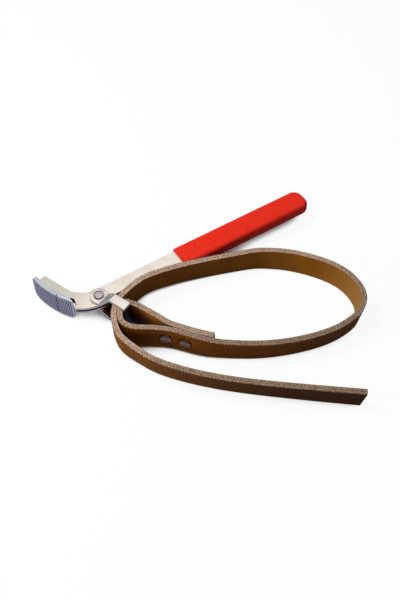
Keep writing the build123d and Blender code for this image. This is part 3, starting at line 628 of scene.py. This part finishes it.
def slant_free_end(mesh, along, section):
    """Cuts the belt's free end a little aslant."""
    end = max(along)
    heading = (route[-1][0] - route[-2][0]).normalized().to_3d()
    for vertex, reach, place in zip(mesh.vertices, along, section):
        share = max(0, 1 - (end - reach) / (CUT_REACH * MM))
        up = place.y / (BELT_WIDTH * MM) + 0.5
        vertex.co -= heading * share * (CUT_SLANT * up + CUT_BACK) * MM


drawn = add_object("belt", belt_line())
maker = drawn.modifiers.new("belt_from_line", "NODES")
maker.node_group = belt_from_line()
for item in maker.node_group.interface.items_tree:
    if item.in_out == "INPUT" and item.name == "Finish":
        maker[item.identifier] = belting
belt_mesh = final_mesh(drawn)
bpy.data.objects.remove(drawn)
belt_mesh.name = "belt"
belt = add_object("belt", belt_mesh)

along = [item.value for item in belt_mesh.attributes["belt_along"].data]
section = [item.vector.copy() for item in belt_mesh.attributes["belt_section"].data]
dent_under_rivets(belt_mesh, section)
slant_free_end(belt_mesh, along, section)
belt_mesh.shade_smooth()
belt_mesh.set_sharp_from_angle(angle=math.radians(BELT_CREASED_FROM))
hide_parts("strap")
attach(belt, "strap")


# ---- Floor and surroundings --------------------------------------------------------------------

FLOOR_HALF = 3            # metres
POCKET_REACH = 30         # a place shut in on all sides within this is a deep pocket
GLOW_TO_EYE = 0.93        # share of plain white with which the camera sees the paper
GLOW_TO_STEEL = 0.23      # share of bluish light with which steel mirrors it
FILL = 0.2                # plain light from all round


def white_paper():
    """White paper: nearly pure white to the camera, with a faint shadow and dark deep pockets."""
    material, tree = new_material("white_paper_floor")
    ray = add_node(tree, "ShaderNodeLightPath").outputs
    # Steel sees the sheet bluish, from the daylight beyond its edge.
    cast = add_node(tree, "ShaderNodeMix", {
        "Factor": ray["Is Glossy Ray"], "A": colour("#ffffff"), "B": colour("#bcc0ff")},
        data_type="RGBA")
    glow = add_node(tree, "ShaderNodeEmission", {"Color": cast, "Strength": 1.0})
    sheet = add_node(tree, "ShaderNodeMix", {
        "Factor": ray["Is Camera Ray"], "A": colour("#959595"), "B": colour("#f2f2f2")},
        data_type="RGBA")
    paper = add_node(tree, "ShaderNodeBsdfDiffuse", {"Color": sheet})
    pocket = add_node(tree, "ShaderNodeAmbientOcclusion", {"Distance": POCKET_REACH * MM},
                      samples=24)
    lit = add_node(tree, "ShaderNodeMapRange", {
        "Value": pocket.outputs["AO"], "From Min": 0.3, "From Max": 0.48, "To Max": GLOW_TO_EYE})
    by_eye = add_node(tree, "ShaderNodeMath", {0: ray["Is Camera Ray"], 1: lit},
                      operation="MULTIPLY")
    share = add_node(tree, "ShaderNodeMath", {0: ray["Is Glossy Ray"], 1: GLOW_TO_STEEL, 2: by_eye},
                     operation="MULTIPLY_ADD")
    mixed = add_node(tree, "ShaderNodeMixShader", {0: share, 1: paper, 2: glow})
    add_node(tree, "ShaderNodeOutputMaterial", {"Surface": mixed})
    return material


def studio():
    """The room round the tool: white to the camera, dim to the tool, and what steel mirrors.

    Steel mirrors a ceiling that is bright overhead and dark near the horizon, a little less on
    the left, and a white board low in front, which hollows that face down and forwards catch.
    """
    world = bpy.data.worlds.new("studio")
    world.use_nodes = True
    tree = world.node_tree
    tree.nodes.clear()
    ray = add_node(tree, "ShaderNodeLightPath").outputs
    heading = add_node(tree, "ShaderNodeTexCoord").outputs["Generated"]
    way = add_node(tree, "ShaderNodeSeparateXYZ", {0: heading}).outputs
    ceiling = add_node(tree, "ShaderNodeMapRange", {
        "Value": way["Z"], "From Min": 0.3, "From Max": 0.65, "To Min": 0.12, "To Max": 1.04})
    sideways = add_node(tree, "ShaderNodeMapRange", {
        "Value": way["X"], "From Min": -0.3, "From Max": -0.05, "To Min": 0.85, "To Max": 1.0})
    above = add_node(tree, "ShaderNodeMath", {0: ceiling, 1: sideways}, operation="MULTIPLY")
    board = add_node(tree, "ShaderNodeMapRange", {
        "Value": way["Y"], "From Min": -0.4, "From Max": -0.8, "To Max": 0.7})
    mirrored = add_node(tree, "ShaderNodeMath", {0: above, 1: board}, operation="MAXIMUM")
    to_tool = add_node(tree, "ShaderNodeMix", {
        "Factor": ray["Is Glossy Ray"], "A": FILL, "B": mirrored}, data_type="FLOAT")
    strength = add_node(tree, "ShaderNodeMix", {
        "Factor": ray["Is Camera Ray"], "A": to_tool, "B": 1.0}, data_type="FLOAT")
    sky = add_node(tree, "ShaderNodeBackground", {"Color": (1, 1, 1, 1), "Strength": strength})
    add_node(tree, "ShaderNodeOutputWorld", {"Surface": sky})
    return world


ground = bpy.data.meshes.new("floor")
corners = [(x * FLOOR_HALF, y * FLOOR_HALF, 0) for x, y in ((-1, -1), (1, -1), (1, 1), (-1, 1))]
ground.from_pydata(corners, [], [(0, 1, 2, 3)])
ground.materials.append(white_paper())
floor = add_object("floor", ground)
bpy.context.scene.world = studio()


# ---- Lamps and camera --------------------------------------------------------------------------

CAMERA_TARGET = Vector((0.0015, -0.0133, 0.014))
CAMERA_DISTANCE = 0.8
CAMERA_ELEVATION = 52     # degrees


def soft_box(name, place, aim, size, power):
    """A square white soft box that faces a point. Steel doesn't mirror it."""
    lamp = bpy.data.lights.new(name, "AREA")
    lamp.shape = "SQUARE"
    lamp.size = size
    lamp.energy = power
    made = add_object(name, lamp)
    made.location = place
    made.rotation_euler = (Vector(aim) - Vector(place)).to_track_quat("-Z", "Y").to_euler()
    made.visible_glossy = False


soft_box("key_box", (-0.72, 0.1, 1.2), (0, 0, 0), 0.5, 17.0)
soft_box("side_box", (-1.1, -0.34, 0.4), (0, -0.03, 0.01), 0.35, 5.0)

camera = add_object("camera", bpy.data.cameras.new("camera"))
camera.data.lens = 51.0
camera.data.sensor_width = 36.0
camera.data.clip_start = 0.01
camera.data.clip_end = 20
rise = math.radians(CAMERA_ELEVATION)
back = Vector((0, -math.cos(rise), math.sin(rise)))
camera.location = CAMERA_TARGET + back * CAMERA_DISTANCE
camera.rotation_euler = (-back).to_track_quat("-Z", "Y").to_euler()
bpy.context.scene.camera = camera
bpy.context.scene.view_settings.view_transform = "Standard"
